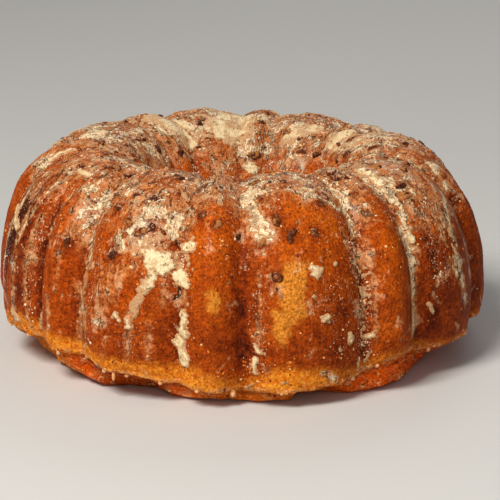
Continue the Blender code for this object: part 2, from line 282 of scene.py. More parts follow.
reach = np.where(height < DOME_HEIGHT, foot_reach + (dome_reach - foot_reach) * height / DOME_HEIGHT,
                 dome_reach * toward_rim)
new_radius += np.where(outer_low, reach, 0)
ragged = along(((0.004, 0), (0.008, 0.6), (0.0118, 1), (0.0145, 1), (0.0185, 0)), height) * outer_side
new_height += ragged * (EDGE_RISE[0] * lumps(places, 0.007, 21) + EDGE_RISE[1] * lumps(places, 0.0032, 22))
new_radius += ragged * (EDGE_REACH[0] * lumps(places, 0.006, 23) + EDGE_REACH[1] * lumps(places, 0.0030, 24))
dome_rough = along(((0.001, 0), (0.003, 1), (0.010, 1), (0.012, 0)), height) * outer_side
new_radius += dome_rough * (DOME_REACH[0] * lumps(places, 0.0085, 25)
                            + DOME_REACH[1] * lumps(places, 0.0036, 26))
new_height += dome_rough * DOME_RISE * lumps(places, 0.0060, 27)
turn = np.radians(azimuth)
places = np.stack([new_radius * np.sin(turn), -new_radius * np.cos(turn), new_height], 1)
put_places(sponge, places)

pick_up(sponge)
bpy.ops.object.shade_smooth()
faces = corners_of(sponge)
crust_tree = BVHTree.FromPolygons(places.tolist(), faces.tolist())
normals = outward_ways(sponge)


def on_crust(azimuth_degrees, tube_degrees):
    """The place and the outward direction of the crust at an azimuth and a tube angle."""
    turn = math.radians(azimuth_degrees)
    tilt = math.radians(tube_degrees)
    core = Vector((math.sin(turn), -math.cos(turn), 0)) * CREST_RADIUS + Vector((0, 0, TUBE_CENTRE_HEIGHT))
    way = Vector((math.sin(turn) * math.cos(tilt), -math.cos(turn) * math.cos(tilt), math.sin(tilt)))
    place, direction, _, _ = crust_tree.ray_cast(core, way)
    return np.array(place), np.array(direction)


def line_on_crust(points):
    """Places on the crust every few degrees along a line of (azimuth, tube angle) points."""
    if len(points) == 1:
        return [on_crust(*points[0])[0]]
    line = []
    for (a, t), (next_a, next_t) in zip(points, points[1:]):
        step = (next_a - a + 180) % 360 - 180
        count = max(1, math.ceil(max(abs(step), abs(next_t - t)) / 5))
        line += [on_crust(a + step * i / count, t + (next_t - t) * i / count)[0] for i in range(count)]
    return line + [on_crust(*points[-1])[0]]


def distance_to_line(spots, line, reach=0.025):
    """The distance of every spot from a line of places, up to that reach."""
    best = np.full(len(spots), reach)
    corners = np.array(line)
    near = np.all((spots > corners.min(0) - reach) & (spots < corners.max(0) + reach), axis=1)
    close = spots[near]
    away = np.linalg.norm(close - line[0], axis=1)
    for start, end in zip(line, line[1:]):
        run = end - start
        share = np.clip((close - start) @ run / (run @ run + 1e-12), 0, 1)
        away = np.minimum(away, np.linalg.norm(close - start - share[:, None] * run, axis=1))
    best[near] = np.minimum(away, reach)
    return best


def soft_spots(spots, marks):
    """Adds soft round marks, each an azimuth, a tube angle, a radius in millimetres and a strength."""
    total = np.zeros(len(spots))
    for a, t, mark_radius, strength in marks:
        away = np.linalg.norm(spots - on_crust(a, t)[0], axis=1)
        total += strength * np.exp(-(away / (mark_radius * 0.001)) ** 2)
    return total


def soft_lines(spots, marks):
    """The strongest of soft lines: each is its points, a width in millimetres and a strength."""
    total = np.zeros(len(spots))
    for points, mark_width, strength in marks:
        away = distance_to_line(spots, line_on_crust(points))
        total = np.maximum(total, strength * np.exp(-(away / (mark_width * 0.0006)) ** 2))
    return total


# Where the crust baked clean and orange (above 0) or dark (below 0), the left flutes partly in painted shade
BAKED_AND_SHADED = (
    (-6, 44, 9, 0.5), (-6, 25, 7.5, 0.35), (-9, 9, 4, 0.2), (15, 53, 13, 0.45), (23, 48, 7.5, 0.3),
    (11, 38, 7, 0.4), (38, 31, 6, 0.6), (35, 10, 6.5, 0.5), (35, -12, 6.5, 0.4), (-46, 20, 5, 0.2),
    (-46, -3, 6, -0.08), (-62, 10, 10, -0.6), (-70, 25, 12, -0.7), (-66, 50, 9, -0.6), (-80, 25, 12, -0.4),
    (1, 27, 6.5, -0.35), (1, 3, 7, -0.45), (1, -21, 7, -0.9), (22, 1, 7, -0.6), (21, -19, 8, -0.9),
    (-27, -16, 8, -0.5), (-18, -13, 6, -0.4), (51, -21, 9, -0.3), (55, -2, 7, -0.3), (78, -18, 6, -0.8),
    (52, 20, 7, -0.4), (79, 12, 5, -0.2), (13, -19, 9, -0.4), (-6, -14, 7, -0.4), (-63, -7, 6, -0.6),
    (-62, 23, 6, -0.3), (-58, -11, 4, 0.2), (79, 35, 4, 0.4), (-31, 10, 6, 0.1), (-18, 7, 7, -0.2),
    (-30, 51, 5, 0.3), (39, 57, 6, 0.3), (51, 53, 6, 0.1), (45, -23, 4, -0.8), (26, 22, 3, -0.5),
    (-68, 35, 12, -0.8), (-74, 10, 14, -1.0), (-64, -12, 10, -0.4), (-80, 45, 10, -0.4),
    (-84, -10, 12, -0.6), (-74, 30, 16, -0.5), (62, 20, 12, -0.5), (66, -10, 12, -0.6), (84, 0, 14, -0.7),
    (70, 45, 9, -0.2), (-88, 98, 18, -0.7), (-112, 104, 14, -0.6), (-68, 30, 14, -0.4), (80, 40, 12, -0.4),
    (-46, 10, 8, -0.25),
)
BAKED_BY_TUBE = (
    (-90, 0.0), (-45, 0.1), (-30, -0.07), (0, -0.08), (25, 0.02), (50, 0.2), (80, 0.1), (100, 0.15),
    (115, 0.3), (130, 0.45), (170, 0.3), (200, 0.0),
)
# Azimuth, then how high the golden band over the lower edge reaches in millimetres, and how golden it is
GOLD = (
    (-180, 7, 0.5), (-100, 7, 0.5), (-62, 9, 0.9), (-48, 8.5, 0.9), (-42, 7, 0.95), (-36, 8, 0.9),
    (-30, 7.5, 0.8), (-24, 7, 0.8), (-12, 10.5, 1.0), (-6, 9, 0.9), (0, 6, 0.35), (4, 9, 0.9), (8, 12, 1.2),
    (13, 12, 1.2), (18, 10, 0.9), (23, 7, 0.35), (28, 6, 0.5), (34, 5, 0.35), (46, 5, 0.3), (60, 3, 0.2),
    (90, 4, 0.3), (120, 7, 0.5), (180, 7, 0.5),
)
# Azimuth, then the dome under the edge: 1 golden, 0 bright orange and -1 dark, a painted shade under the
# overhang
DOME_TONE_AND_SHADE = (
    (-180, 0.2), (-100, 0.5), (-60, 0.9), (-47, 0.8), (-43, -0.2), (-34, -0.7), (-22, -0.6), (-15, 0.2),
    (0, 0.6), (12, 0.7), (22, 0.4), (30, 0.05), (60, 0.0), (100, 0.2), (180, 0.2),
)
# Painted shade in the grooves, and a painted shadow over darker crust on the flute at azimuth 50 to 57
GROOVE_SHADE_AND_BAKE = (
    (((28, 58), (29, 30), (29, -28)), 3.0, 0.9), (((50.8, 34), (50.6, 10), (50.6, -24)), 7.0, 0.9),
    (((57, 36), (57, 0), (57, -24)), 14.0, 0.45), (((1, 52), (0.5, 10), (0.5, -28)), 2.6, 0.25),
    (((-14.5, 30), (-14.5, -26)), 2.4, 0.5), (((-57, 50), (-57, 0), (-57, -26)), 3.0, 0.8),
    (((-70, 45), (-70, 0), (-71, -20)), 3.0, 0.8), (((-56, 50), (-56, 0), (-56, -24)), 3.0, 0.7),
    (((76, 70), (74, 30), (73, -22)), 6.0, 0.8), (((1, 40), (0, 10), (0, -26)), 6.0, 0.3),
    (((-41, 40), (-40, 10), (-40, -22)), 3.0, 0.5),
)
# Where a pecan shows, ringed by glaze and by painted shade: azimuth, tube angle and length in millimetres
NUTS = (
    (-47, 79, 6), (-43, 81, 5.5), (-41, 70, 5), (-22, 83, 7), (-10, 55, 6), (-6, 49, 7), (9, 52, 8),
    (12, 43, 7.5), (18, 43, 6), (5, 41, 5.5), (8, 21, 6), (35, 82, 13), (54, 81, 8.5), (52, 63, 8),
    (99, 110, 7), (83, 95, 6.5), (133, 103, 6), (128, 93, 7), (170, 90, 7), (170, 102, 5), (-153, 103, 6),
    (-151, 108, 5), (-161, 99, 6), (-144, 90, 6), (5, 83, 7), (14, 79, 6), (25, 66, 6), (-25, 43, 6.5),
    (-23, 46, 5.5), (-31, 29, 7), (-22, 33, 5), (-46, 29, 8), (-114, 104, 6), (-72, 100, 6), (-135, 73, 6),
    (-125, 114, 6), (-63, 72, 6), (-70, 92, 5), (-78, 96, 6), (-82, 104, 5), (-96, 98, 6), (-102, 106, 5),
    (-120, 106, 6), (-140, 84, 5), (66, 72, 5), (60, 70, 6), (72, 86, 5), (88, 104, 5), (110, 98, 6),
    (-57, 84, 5), (-37, 62, 5), (-20, 45, 5), (-48, 77, 5), (-30, 64, 6), (-25, 62, 5.5), (-34, 54, 7),
    (-29, 47, 5), (-16, 41, 4), (22, 60, 6), (51, 56, 6), (78, 40, 5), (-90, 91, 6), (-85, 88, 5),
    (-66, 62, 5),
)
# Where the thin glaze lies as a pale film
FILMED = (
    (-43, 59, 9.5, 0.62), (-43, 43, 7.5, 0.4), (-19, 55, 7, 0.5), (2, 72, 9, 0.5), (33, 75, 8, 0.5),
    (52, 63, 10, 0.58), (33, 52, 7, 0.6), (-66, 43, 8, 0.25), (-61, 12, 10, 0.25), (-107, 122, 12, 0.4),
    (-12, 78, 8, 0.3), (59, 38, 7, 0.6), (58, 12, 6, 0.5), (-26, 46, 9, 0.4), (-22, 31, 7, 0.36),
    (-92, 98, 15, -0.2), (-70, 84, 9, -0.1), (-41, 4, 4.5, 0.5), (-40, -16, 4.5, 0.5), (30, 28, 5, 0.5),
    (29, -3, 5, 0.5), (48, 25, 6, 0.15), (16, 60, 5, 0.2), (163, 119, 6, 0.4), (-166, 131, 6, 0.35),
    (140, 124, 6, 0.4), (68, 83, 10, 0.5), (42, 4, 3, 0.4), (16, 89, 12.5, 0.35), (-87, 57, 7.5, 0.5),
    (-15, 52, 5, 0.4), (17, 8, 5, 0.2), (-8, 46, 8, -0.45), (-7, 58, 6, -0.3), (15, 54, 12, -0.4),
    (24, 48, 8, -0.35), (39, 42, 8, -0.4), (38, 58, 6, -0.15), (-52, 40, 5, -0.2), (-31, 46, 5, -0.2),
    (52, 40, 7, 0.25), (70, 60, 8, 0.3), (178, 104, 13, 0.6), (-148, 104, 13, 0.6), (148, 106, 12, 0.6),
    (122, 102, 12, 0.45), (100, 100, 14, 0.3), (176, 124, 7, 0.6), (-160, 106, 6, 0.4), (-50, 34, 7, 0.1),
    (-41, 30, 6, 0.3), (-60, 40, 8, -0.1), (-28, 20, 7, 0.25), (-10, 70, 8, 0.2), (46, 74, 8, 0.4),
)
# Where a thin run of glaze dried as a pale line
FILMED_LINES = (
    (((-34, 20), (-34, 6), (-34, -12)), 6.0, 0.42), (((-39, 26), (-40, 0), (-41, -30)), 5.5, 0.62),
    (((-66, 45), (-66, 10), (-66, -25)), 4, 0.48), (((-61, 40), (-61, 0), (-60, -28)), 3, 0.52),
    (((-72, 50), (-73, 20), (-74, -10)), 4, 0.8), (((-49, -2), (-49, -24)), 2.5, 0.45),
    (((-38, -4), (-38, -32)), 2.2, 0.55), (((-31, 28), (-31, -2)), 4.0, 0.42),
    (((-28, 22), (-29, 4)), 4.0, 0.4), (((-18, 26), (-18, 4)), 4.0, 0.36),
    (((-25, -2), (-26, -26)), 4.5, 0.42), (((-21, -6), (-21, -26)), 3.4, 0.34),
    (((-31, -8), (-32, -26)), 3.6, 0.36), (((-47, 22), (-47, 2)), 3.0, 0.36),
    (((-12.5, 40), (-13, -6)), 1.8, 0.55), (((53, 62), (55, 40), (56, 22)), 3.0, 0.62),
    (((56, 60), (59, 44)), 3.5, 0.6), (((26, 46), (27, 20)), 2.4, 0.5),
    (((64, 62), (66, 30), (66, 0)), 3.0, 0.6), (((32.5, 40), (32, 4), (32, -20)), 2.4, 0.6),
    (((4, 24), (4, -20)), 3.0, 0.34), (((-16, 34), (-15, 22), (-14, 8)), 3.5, 0.6),
    (((-55, 64), (-56, 55), (-56, 46), (-56, 30)), 2.4, 1.0),
    (((-24, 52), (-21, 57), (-19, 52), (-17, 45)), 5, 1.0), (((-28, 43), (-25, 48)), 5, 0.9),
    (((-31, 39), (-29, 32)), 4, 0.9), (((2, 72), (3, 60), (4, 54), (6, 45)), 8, 1.1),
    (((31, 84), (31, 73), (31, 60)), 5.5, 1.0), (((30, 62), (30, 52), (30, 43)), 4, 0.9),
    (((49, 66), (47, 48), (45.5, 34)), 5.0, 1.1),
    (((45.8, 34), (45.2, 15), (44.6, -3), (43.9, -24)), 4.6, 1.12),
    (((67, 50), (62, 40), (60, 31)), 5, 1.0), (((60, 31), (59, 12), (61, -10)), 4.5, 0.9),
    (((80, 64), (79, 57), (78, 50)), 6, 1.0), (((-108, 98), (-119, 100), (-134, 96)), 5, 0.9),
    (((-113, 107), (-124, 113)), 5, 0.8), (((18, -29), (21, -33)), 3, 0.9),
    (((-63, 60), (-64, 40), (-66, 20)), 3, 0.8), (((-72, 62), (-76, 40), (-77, 15)), 3, 0.8),
    (((-46, 64), (-45, 50), (-45, 36)), 8, 0.6), (((-80, 66), (-84, 50)), 4, 0.9),
    (((14, 70), (22, 66), (28, 58)), 4, 0.8),
)
# Where the skin stuck to the tin and shows golden sponge
TORN = (
    (((12, 23), (11, 14), (11, 3)), 13.0), (((9, 0), (8.5, -9)), 9.5), (((-6, 12), (-6, 5)), 5.5),
)
# Where sugar grains lie thickly
SUGARED = (
    (((-36, 30), (-36, 10), (-37, -18)), 7, 0.7), (((29, 48), (29, 20), (29, -25)), 9, 1.0),
    (((51, 50), (52, 30), (52, 5)), 8, 0.8), (((3, 10), (4, -10), (3, -28)), 7, 0.7),
    (((-58, 50), (-60, 20), (-60, -15)), 8, 0.6), (((-24, 0), (-25, -20)), 8, 0.45),
    (((-13, 25), (-13, -25)), 6, 0.5), (((20, 15), (22, -15)), 12, 0.4), (((62, 50), (60, 20)), 7, 0.7),
    (((80, 60), (78, 35)), 6, 0.5), (((-45, 60), (-44, 40)), 12, 0.6),
    (((-28, 55), (-22, 45), (-16, 35)), 14, 1.1), (((56, 68), (57, 46)), 12, 0.9),
    (((-20, 30), (-15, 20)), 12, 0.7), (((-70, 50), (-72, 20), (-72, -15)), 9, 0.6),
)
# Where the crust is clean of grains
CLEAN = (
    (-7, 48, 9, 0.9), (-7, 24, 8, 0.9), (-7, 4, 6, 0.8), (14, 52, 12, 0.8), (12, 30, 8, 0.7),
    (39, 35, 8, 0.95), (38, 15, 8, 0.95), (38, -8, 8, 0.95), (36, -22, 7, 0.9), (-48, 8, 7, 0.9),
    (-48, -14, 7, 0.8), (-26, -20, 5, 0.5), (-17, 4, 6, 0.6), (54, -12, 8, 0.5), (-10, -24, 6, 0.6),
    (10, -20, 9, 0.5),
)
# How thick the film lies by tube angle
UPPER_FILM = (
    (0, 0.0), (35, 0.05), (62, 0.32), (90, 0.42), (110, 0.34), (125, 0.16), (150, 0.06), (200, 0.0),
)
# The back isn't seen, so its marks are strewn by chance, and its sugar lies in the grooves
BACK_GROOVES = (90, 120, 135, 165, 180, 210, 225, 255, 270)
groove_lines = []
chance = random.Random(11)
for groove in BACK_GROOVES:
    real = float(np.interp(groove, [even for even, _ in SQUASHED], [real for _, real in SQUASHED]))
    groove_lines.append((((real, 75), (real + chance.uniform(-2, 2), 40), (real, chance.uniform(-25, 0))),
                         chance.uniform(6, 10), chance.uniform(0.5, 0.9)))
back_films = []
for _ in range(26):
    back_films.append((chance.uniform(95, 262), chance.uniform(20, 95), chance.uniform(6, 12),
                       chance.uniform(0.4, 0.9)))
back_bakes = []
for _ in range(40):
    back_bakes.append((chance.uniform(92, 268), chance.uniform(-25, 60), chance.uniform(5, 10),
                       chance.uniform(-0.7, 0.6)))

film = along(UPPER_FILM, tube) + soft_spots(places, FILMED + tuple(back_films))
film = np.maximum(film, soft_lines(places, FILMED_LINES))
# Round each pecan the crust is darkened as painted shade, standing for the crevice at the nut's edge
nut_crevice_shade = np.zeros(len(places))
for a, t, length in NUTS:
    from_nut = np.linalg.norm(places - on_crust(a, t)[0], axis=1) / (length * 0.001)
    film += 0.22 * np.exp(-(from_nut / 1.1) ** 2) - 0.34 * np.exp(-(from_nut / 0.6) ** 2)
    nut_crevice_shade = np.maximum(nut_crevice_shade, np.exp(-(from_nut / 0.62) ** 2))
film += soft_lines(places, ((((-60, 98), (-30, 104), (0, 106), (30, 104), (60, 98)), 9, 0.45),))
film = np.clip(film, 0, 1.4)
bake = along(BAKED_BY_TUBE, tube) + soft_spots(places, BAKED_AND_SHADED + tuple(back_bakes))
# The painted shade of the grooves and round the pecans is taken off the bake
bake -= soft_lines(places, GROOVE_SHADE_AND_BAKE) + 1.1 * nut_crevice_shade
sugar = np.maximum(soft_lines(places, SUGARED + tuple(groove_lines)),
                   along(((20, 0.0), (60, 0.45), (85, 0.7), (130, 0.7), (170, 0.5), (200, 0)), tube))
sugar *= np.clip(1 - soft_spots(places, CLEAN), 0, 1)
off_torn = np.full(len(places), 0.05)
for points, mark_width in TORN:
    off_torn = np.minimum(off_torn, distance_to_line(places, line_on_crust(points)) - mark_width * 0.0005)
rim = along(LOWER_EDGE, azimuth, 1)
edge = np.where(outer_side, (new_height - rim) * 1000, 50.0)
kept_numbers = {
    "flow": np.stack([0.1 * np.sin(turn), -0.1 * np.cos(turn), arc], 1),
    "bake": bake,
    "film": film,
    "sugar": sugar,
    "torn": off_torn * 1000,
    "edge": edge,
    "golden": along(GOLD, azimuth, 2),
    "dome": along(DOME_TONE_AND_SHADE, azimuth),
    "band": np.where(outer_side, edge / along(GOLD, azimuth), 20),
    # groove: painted shade, deepest at the bottom of each groove
    "groove": (1 - flute) ** 2 * depth / GROOVE_DEPTHS[0][1],
}
for name, values in kept_numbers.items():
    keep_values(sponge, name, values)


class Wire:
    """One output of a material's nodes, for sums with numbers and with other wires."""

    def __init__(self, paint, socket):
        self.paint = paint
        self.socket = socket

    def __add__(self, other):
        return self.paint.sum("ADD", self, other)

    def __sub__(self, other):
        return self.paint.sum("SUBTRACT", self, other)

    def __rsub__(self, other):
        return self.paint.sum("SUBTRACT", other, self)

    def __mul__(self, other):
        return self.paint.sum("MULTIPLY", self, other)

    def __truediv__(self, other):
        return self.paint.sum("DIVIDE", self, other)

    def __rtruediv__(self, other):
        return self.paint.sum("DIVIDE", other, self)

    __radd__ = __add__
    __rmul__ = __mul__


class Paint:
    """The nodes of one material."""

    def __init__(self, name):
        self.material = bpy.data.materials.new(name)
        self.material.use_nodes = True
        self.tree = self.material.node_tree
        self.tree.nodes.clear()

    def add(self, kind, settings, sockets, output=0):
        """A node with its settings, and the values or wires of its sockets. Gives the wire of one output."""
        node = self.tree.nodes.new(kind)
        for name, value in settings.items():
            if name == "stops":
                ramp = node.color_ramp.elements
                while len(ramp) < len(value):
                    ramp.new(1.0)
                for stop, (position, colour) in zip(ramp, value):
                    stop.position = position
                    stop.color = colour
            else:
                setattr(node, name, value)
        for name, value in sockets.items():
            if isinstance(value, Wire):
                self.tree.links.new(value.socket, node.inputs[name])
            else:
                node.inputs[name].default_value = value
        return Wire(self, node.outputs[output]) if len(node.outputs) else None

    def sum(self, operation, first, second):
        return self.add("ShaderNodeMath", {"operation": operation}, {0: first, 1: second})

    def smooth(self, value, low, high):
        """0 below low and 1 above high, with a soft step between."""
        return self.add("ShaderNodeMapRange", {"interpolation_type": "SMOOTHSTEP"},
                        {"Value": value, "From Min": low, "From Max": high})

    def clamp(self, value):
        return self.add("ShaderNodeClamp", {}, {"Value": value})

    def mix(self, share, first, second, blend="MIX"):
        settings = {"data_type": "RGBA", "blend_type": blend}
        return self.add("ShaderNodeMix", settings, {0: share, 6: first, 7: second}, output=2)

    def place(self):
        return self.add("ShaderNodeTexCoord", {}, {}, output="Object")

    def stretch(self, vector, x, y, z):
        return self.add("ShaderNodeVectorMath", {"operation": "MULTIPLY"}, {0: vector, 1: (x, y, z)})

    def cloud(self, vector, size, detail=2.0, rough=0.5, swirl=0.0):
        """Cloudy noise from 0 to 1 whose blobs are about that size in metres, drawn out by the swirl."""
        return self.add("ShaderNodeTexNoise", {}, {"Vector": vector, "Scale": 1 / size, "Detail": detail,
                                                   "Roughness": rough, "Distortion": swirl})

    def dots(self, vector, size, chance_of, radius_share):
        """Round dots, one in each cell of that size, in that share of the cells."""
        sockets = {"Vector": vector, "Scale": 1 / size}
        away = self.add("ShaderNodeTexVoronoi", {}, sockets, output="Distance")
        colour = self.add("ShaderNodeTexVoronoi", {}, sockets, output="Color")
        split = self.add("ShaderNodeSeparateColor", {}, {"Color": colour}, output=0)
        other = self.add("ShaderNodeSeparateColor", {}, {"Color": colour}, output=1)
        there = self.add("ShaderNodeMath", {"operation": "LESS_THAN"}, {0: split, 1: chance_of})
        reach = (other * 0.6 + 0.5) * radius_share
        return there * self.smooth(away / reach, 1.15, 0.75)

    def kept(self, name, output="Fac"):
        return self.add("ShaderNodeAttribute", {"attribute_name": name}, {}, output=output)

    def finish(self, colour, roughness, height, depth, **others):
        """The surface of the material, with bumps of that depth in metres."""
        sockets = {"Base Color": colour, "Roughness": roughness}
        if height is not None:
            bumps = {"Height": height, "Distance": depth, "Strength": 1.0}
            sockets["Normal"] = self.add("ShaderNodeBump", {}, bumps, output="Normal")
        sockets.update(others)
        surface = self.add("ShaderNodeBsdfPrincipled", {}, sockets)
        self.add("ShaderNodeOutputMaterial", {}, {"Surface": surface})
        return self.material


def tint(red, green, blue):
    """A colour from its screen values, 0 to 255."""
    def linear(value):
        value = value / 255
        return value / 12.92 if value <= 0.04045 else ((value + 0.055) / 1.055) ** 2.4
    return (linear(red), linear(green), linear(blue), 1.0)


crust = Paint("browned crust")
where = crust.place()
flow = crust.kept("flow", "Vector")
coarse = crust.cloud(where, 0.012, 2, 0.6)
medium = crust.cloud(where, 0.0045, 4, 0.65)
grain = crust.cloud(where, 0.0012, 3, 0.65)
grit = crust.cloud(crust.stretch(where, 1, 1, 0.8), 0.0010, 2, 0.6)
streak = crust.cloud(crust.stretch(flow, 1, 1, 0.16), 0.0028, 3, 0.6)
fine_streak = crust.cloud(crust.stretch(flow, 1, 1, 0.10), 0.0013, 3, 0.65)
mottle = crust.cloud(where, 0.0026, 2, 0.55)
off_tear = crust.kept("torn") + (coarse - 0.5) * 6 + (medium - 0.5) * 14 + (grain - 0.5) * 5
bare = 1 - crust.smooth(off_tear, -2.4, 1.4)
under = 1 - crust.smooth(crust.kept("edge") + (medium - 0.5) * 2, -1.8, -0.2)
# How browned the crust is, with painted shade in the bake marks and darker towards each groove's bottom
browning_and_shade = crust.kept("bake") * 0.62 + (coarse - 0.5) * 0.7 + (medium - 0.5) * 0.8 + (streak - 0.5) * 0.6
browning_and_shade = browning_and_shade + (mottle - 0.5) * 1.2 - crust.kept("groove") * 0.30 + 0.03
brown = crust.add("ShaderNodeValToRGB", {"stops": (
    (0.0, tint(66, 18, 4)), (0.26, tint(130, 46, 6)), (0.5, tint(168, 68, 9)), (0.68, tint(194, 86, 10)),
    (1.0, tint(220, 112, 18)))}, {"Fac": browning_and_shade * 0.5 + 0.5}, output="Color")

# Soaked with syrup where the glaze lay, the crust is a lighter caramel
soaked = crust.smooth(crust.kept("film") + (coarse - 0.5) * 0.7 + (medium - 0.5) * 0.5, 0.10, 0.60)
soft_patches = crust.smooth(mottle * 0.35 + medium * 0.35 + fine_streak * 0.3, 0.42, 0.57)
caramel = crust.mix(soft_patches, tint(112, 48, 14), tint(216, 142, 82))
brown = crust.mix(soaked * 0.74, brown, caramel)

# Low on the flutes the crust is golden, and under its lower edge it is bright orange sponge
band = crust.kept("band") + (medium - 0.5) * 0.9 + (coarse - 0.5) * 0.6 + (streak - 0.5) * 0.4
gold = (1 - crust.smooth(band, 0.55, 1.25)) * crust.kept("golden")
light_crumb = crust.smooth(mottle + (grain - 0.5) * 0.5, 0.3, 0.7)
gold_tone = crust.mix(light_crumb, tint(226, 114, 18), tint(250, 160, 48))
brown = crust.mix(crust.clamp(gold * 0.92), brown, gold_tone)
dome_tone_and_shade = crust.kept("dome")
orange_dome = crust.mix(mottle, tint(208, 60, 0), tint(255, 108, 4))
golden_dome = crust.mix(mottle, tint(200, 94, 14), tint(246, 150, 46))
under_tone = crust.mix(crust.clamp(dome_tone_and_shade + (medium - 0.5) * 0.6), orange_dome, golden_dome)
# Painted shade: where the dome's tone is below 0 it darkens, standing for the shadow under the edge
shaded_dome = crust.clamp((medium - 0.5) * 0.8 - dome_tone_and_shade)
under_tone = crust.mix(shaded_dome * 0.8, under_tone, tint(104, 32, 6))
brown = crust.mix(under * 0.94, brown, under_tone)
pale_crumb = crust.smooth(medium + (grain - 0.5) * 0.6, 0.55, 0.62)
brown = crust.mix(under * pale_crumb * 0.40, brown, tint(240, 184, 124))
over_edge = crust.kept("edge")
# A painted shadow: a dark band just under the crust's lower edge, where it overhangs the dome
shadow_under_edge = crust.smooth(over_edge + (medium - 0.5) * 2.5, -0.6, -1.6) * crust.smooth(over_edge, -5.0, -2.5)
brown = crust.mix(shadow_under_edge * 0.5, brown, tint(84, 24, 4))
lip = crust.smooth(over_edge + (mottle - 0.5) * 3, 2.4, 0.6) * crust.smooth(over_edge, -1.2, -0.3)
lip = lip * crust.smooth(medium * 0.6 + coarse * 0.4, 0.46, 0.53)
brown = crust.mix(lip * 0.42, brown, tint(236, 184, 124))
torn_tone = crust.mix(grain * 0.6 + mottle * 0.4, tint(196, 92, 12), tint(240, 162, 58))
brown = crust.mix(bare * 0.95, brown, torn_tone)
shade = ((grain - 0.5) * 2.4 + (grit - 0.5) * 0.5) * (1 - crust.clamp(gold) * 0.5) + 0.98
grey = crust.add("ShaderNodeCombineColor", {}, {"Red": shade, "Green": shade, "Blue": shade})
brown = crust.mix(1.0, brown, grey, "MULTIPLY")
pores = crust.smooth(grit, 0.40, 0.30) * (1 - gold * 0.7) * (1 - bare * 0.7) * (1 - under * 0.7)
brown = crust.mix(pores * 0.26, brown, tint(70, 22, 5))
dusty = crust.smooth(grit, 0.62, 0.72) * crust.smooth(crust.kept("sugar") + (medium - 0.5), 0.0, 0.9)
brown = crust.mix(dusty * 0.45, brown, tint(228, 172, 126))

# The thin glaze dried as a pinkish haze in streaks, and white where it set hard
marble = crust.cloud(where, 0.0088, 4.0, 0.54, 0.7)
cover = crust.kept("film") * 0.45 + marble * 0.95 + (streak - 0.5) * 0.30 - 0.03
chips = crust.cloud(where, 0.0034, 2, 0.6)
thin = crust.smooth(cover + (grain - 0.5) * 0.18, 0.55, 0.70)
set_hard = crust.smooth(cover + (grain - 0.5) * 0.3 + (chips - 0.5) * 0.45, 0.775, 0.81)
fold = crust.cloud(crust.stretch(flow, 1.2, 1.2, 0.55), 0.0120, 0.6, 0.5, 1.1)
off_fold = crust.add("ShaderNodeMath", {"operation": "ABSOLUTE"}, {0: fold - 0.5})
on_film = crust.smooth(cover, 0.56, 0.70)
broken = crust.smooth(chips * 0.5 + medium * 0.5, 0.47, 0.52) * on_film
crease = (1 - crust.smooth(off_fold, 0.012, 0.030)) * broken
vein = crust.smooth(off_fold, 0.026, 0.040) * (1 - crust.smooth(off_fold, 0.050, 0.075)) * broken
milky = crust.smooth(marble + (mottle - 0.5) * 0.5, 0.44, 0.70)
haze = crust.mix(milky, tint(188, 110, 56), tint(232, 178, 128))
veil = crust.mix(thin * 0.62, brown, haze)
pits = crust.cloud(crust.stretch(flow, 1.1, 1.1, 0.6), 0.0042, 3, 0.6)
cracks = crust.smooth(pits, 0.44, 0.38) * on_film
veil = crust.mix(crust.clamp(cracks * 0.74 + crease * 0.85), veil, tint(76, 30, 10))
white_tone = crust.mix(crust.smooth(grain, 0.35, 0.65), tint(210, 164, 116), tint(250, 228, 186))
veil = crust.mix(crust.clamp(set_hard * (1 - cracks * 0.5) + vein * 0.5) * 0.94, veil, white_tone)
grains = crust.dots(where, 0.0016, crust.kept("sugar") * 0.62, 0.28)
small_grains = crust.dots(crust.stretch(where, 1, 1, 0.7), 0.0009, crust.kept("sugar") * 0.9, 0.34)
speck = crust.clamp(grains + small_grains * 0.8)
veil = crust.mix(speck * 0.72, veil, tint(240, 204, 162))
relief = grain * (1 - thin * 0.5) + medium * 0.5 - pores * 0.3 + set_hard * 0.5
relief = relief + vein * 0.4 + thin * 0.2 + speck * 0.6 - cracks * 0.5 - crease * 0.4
gloss = {"Specular IOR Level": 0.04, "Coat Weight": thin * 0.16 + 0.03, "Coat Roughness": 0.30}
sponge.data.materials.append(crust.finish(veil, 0.60 - thin * 0.22 - grain * 0.1, relief, 0.0012, **gloss))
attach(sponge, "root")
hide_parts("cake")

# The thick glaze. A cream rum and butter glaze was spooned over the warm cake, and where it ran and set
# thick it lies as ragged, grainy slabs, blobs and runs, here and there crumbling off the crust.

